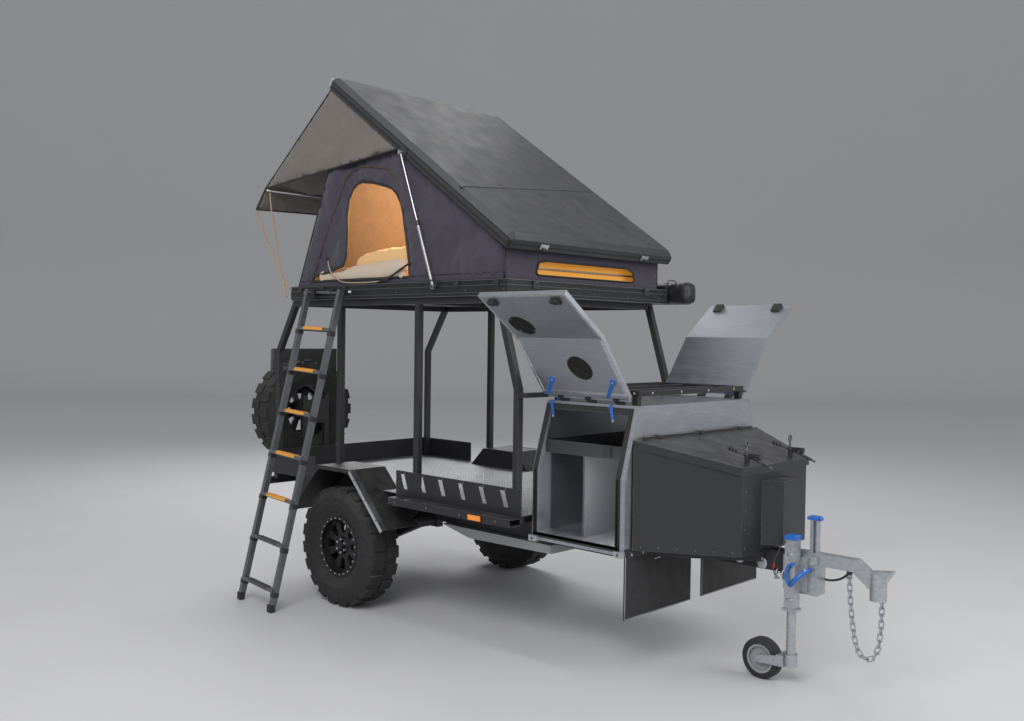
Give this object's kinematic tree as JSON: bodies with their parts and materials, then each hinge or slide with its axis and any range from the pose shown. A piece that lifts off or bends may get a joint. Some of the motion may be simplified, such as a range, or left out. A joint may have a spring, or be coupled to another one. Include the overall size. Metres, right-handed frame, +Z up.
{
  "type": "off-road camping trailer with roof tent",
  "caption": "Two-wheeled off-road camping trailer with a caged load bed, side-opening kitchen cabinet, front toolbox and a hinged hard-shell tent on top.",
  "frame": {"origin": "bottom centre of the bounding box, on the ground", "axes": "+X forward to the coupling, +Y to the trailer's left (the side with the rolled awning), +Z up"},
  "size_m": [4.9524, 2.4902, 3.5889],
  "materials": {
    "vinyl_black": "coated cloth",
    "paint_blue": "moulded blue",
    "cabinet_aluminium": "brushed sheet",
    "cabinet_grey": "satin grey",
    "frame_black": "textured black powder coat",
    "cast_bright": "cast",
    "galvanised": "galvanised steel",
    "chequer_plate": "raised chequer plate",
    "panel_black": "satin black powder coat",
    "latch_black": "moulded",
    "rubber_black": "matt rubber",
    "bright_trim": "brushed",
    "rope_tan": "twisted cord",
    "cast_grey": "as cast",
    "plastic_grey": "moulded grey",
    "ladder_grey": "anodised",
    "box_black": "satin black powder coat",
    "lamp_amber": "moulded lens",
    "mattress_cloth": "quilted cloth",
    "lamp_red": "moulded lens",
    "wheel_black": "satin black",
    "roof_charcoal": "fine-textured charcoal",
    "tyre": "moulded off-road tread",
    "strut_chrome": "polished rod",
    "strut_black": "black tube",
    "canopy_beige": "canvas",
    "canvas_grey": "poly-cotton canvas",
    "tent_extrusion": "black anodised",
    "tank_grey": "moulded polyethylene",
    "bag_black": "canvas"
  },
  "bodies": {
    "trailer": {"awning_bag": "vinyl_black", "brake_grip": "paint_blue", "cabinet": "cabinet_aluminium", "cabinet_shelf": "cabinet_grey", "cage": "frame_black", "chassis": "frame_black", "corner_blocks": "cast_bright", "coupling": "galvanised", "deck": "chequer_plate", "door_hinges": "panel_black", "door_seals": "rubber_black", "guard_trim": "bright_trim", "guy_ropes": "rope_tan", "hand_brake": "galvanised", "jockey_cap": "paint_blue", "jockey_housing": "galvanised", "lock_box": "box_black", "marker_lamps": "lamp_amber", "mattress": "mattress_cloth", "rear_carrier": "frame_black", "rear_lamps": "lamp_red", "roof_rack": "panel_black", "safety_chain": "galvanised", "side_panels": "panel_black", "sliders": "panel_black", "spare_rim": "wheel_black", "spare_tyre": "tyre", "stone_flaps": "rubber_black", "suspension": "frame_black", "tent_canvas": "canvas_grey", "tent_tray": "tent_extrusion", "toolbox": "box_black", "water_tank": "tank_grey", "wheel_bag": "bag_black", "wheel_guards": "panel_black"},
    "wheel_near": {"tyre_near": "tyre", "rim_near": "wheel_black", "hub_near": "cast_grey"},
    "wheel_far": {"tyre_far": "tyre", "rim_far": "wheel_black", "hub_far": "cast_grey"},
    "jockey_leg": {"jockey_leg": "galvanised"},
    "jockey_castor": {"jockey_fork": "galvanised"},
    "jockey_wheel": {"jockey_tyre": "rubber_black", "jockey_rim": "plastic_grey"},
    "door_near": {"door_near": "cabinet_aluminium", "door_latches_near": "latch_black"},
    "door_far": {"door_far": "cabinet_aluminium", "door_latches_far": "latch_black"},
    "toolbox_lid": {"toolbox_lid": "box_black", "lid_latches": "latch_black"},
    "riser_lower": {"riser_lower": "galvanised"},
    "riser_upper": {"riser_upper": "galvanised"},
    "roof": {"roof_shell": "roof_charcoal", "tent_canopy": "canopy_beige"},
    "strut_tube_near": {"strut_tube_near": "strut_black"},
    "strut_tube_far": {"strut_tube_far": "strut_black"},
    "strut_rod_near": {"strut_rod_near": "strut_chrome"},
    "strut_rod_far": {"strut_rod_far": "strut_chrome"},
    "ladder": {"ladder": "ladder_grey"}
  },
  "joints": [
    {"name": "wheel_near_spin", "type": "hinge", "parent": "trailer", "child": "wheel_near", "pos_m": [-0.92585, -0.7138, 0.4], "axis": [0, 1, 0], "continuous": true},
    {"name": "wheel_far_spin", "type": "hinge", "parent": "trailer", "child": "wheel_far", "pos_m": [-0.92585, 0.8842, 0.4], "axis": [0, 1, 0], "continuous": true},
    {"name": "jockey_lift", "type": "slide", "parent": "trailer", "child": "jockey_leg", "axis": [0, 0, 1], "range_m": [-0.1, 0.15]},
    {"name": "jockey_swivel", "type": "hinge", "parent": "jockey_leg", "child": "jockey_castor", "pos_m": [1.97915, -0.0108, 0.15], "axis": [0, 0, 1], "continuous": true},
    {"name": "jockey_spin", "type": "hinge", "parent": "jockey_castor", "child": "jockey_wheel", "pos_m": [1.81415, -0.0108, 0.11], "axis": [0, 1, 0], "continuous": true},
    {"name": "door_near_swing", "type": "hinge", "parent": "trailer", "child": "door_near", "pos_m": [0.97415, -0.49791, 1.48803], "axis": [1, 0, 0], "range_deg": [0, 126]},
    {"name": "door_far_swing", "type": "hinge", "parent": "trailer", "child": "door_far", "pos_m": [0.97415, 0.66831, 1.48803], "axis": [-1, 0, 0], "range_deg": [0, 126]},
    {"name": "lid_swing", "type": "hinge", "parent": "trailer", "child": "toolbox_lid", "pos_m": [1.33615, 0.0852, 1.29], "axis": [0, -1, 0], "range_deg": [0, 75]},
    {"name": "riser_foot", "type": "hinge", "parent": "trailer", "child": "riser_lower", "pos_m": [0.43815, 0.0852, 2.112], "axis": [0, 1, 0], "range_deg": [-70.03, 0]},
    {"name": "riser_knee", "type": "hinge", "parent": "riser_lower", "child": "riser_upper", "pos_m": [0.41008, 0.0852, 2.24405], "axis": [0, 1, 0], "range_deg": [0, 140.07]},
    {"name": "roof_swing", "type": "hinge", "parent": "riser_upper", "child": "roof", "pos_m": [0.43815, 0.0852, 2.3761], "axis": [0, 1, 0], "range_deg": [-104.5, 0], "deforming": ["tent_canvas", "tent_canopy", "guy_ropes"]},
    {"name": "strut_near_foot", "type": "hinge", "parent": "trailer", "child": "strut_tube_near", "pos_m": [-0.07985, -0.7368, 2.126], "axis": [0, 1, 0], "range_deg": [-63.9, 0]},
    {"name": "strut_near_stroke", "type": "slide", "parent": "strut_tube_near", "child": "strut_rod_near", "axis": [-0.3547, 0, 0.935], "range_m": [-0.39486, 0]},
    {"name": "strut_far_foot", "type": "hinge", "parent": "trailer", "child": "strut_tube_far", "pos_m": [-0.07985, 0.9072, 2.126], "axis": [0, 1, 0], "range_deg": [-63.9, 0]},
    {"name": "strut_far_stroke", "type": "slide", "parent": "strut_tube_far", "child": "strut_rod_far", "axis": [-0.3547, 0, 0.935], "range_m": [-0.39486, 0]},
    {"name": "ladder_swing", "type": "hinge", "parent": "trailer", "child": "ladder", "pos_m": [-1.18785, -0.7568, 2.112], "axis": [-0.9965, 0.077, 0.0335], "range_deg": [0, 70]}
  ],
  "couplings": [
    {"joint": "riser_foot", "follows": "roof_swing", "ratio": 0.66986},
    {"joint": "riser_knee", "follows": "roof_swing", "ratio": -1.3397},
    {"joint": "strut_near_foot", "follows": "roof_swing", "ratio": 0.61116},
    {"joint": "strut_near_stroke", "follows": "roof_swing", "m_per_rad": 0.21639},
    {"joint": "strut_far_foot", "follows": "roof_swing", "ratio": 0.61116},
    {"joint": "strut_far_stroke", "follows": "roof_swing", "m_per_rad": 0.21639}
  ]
}
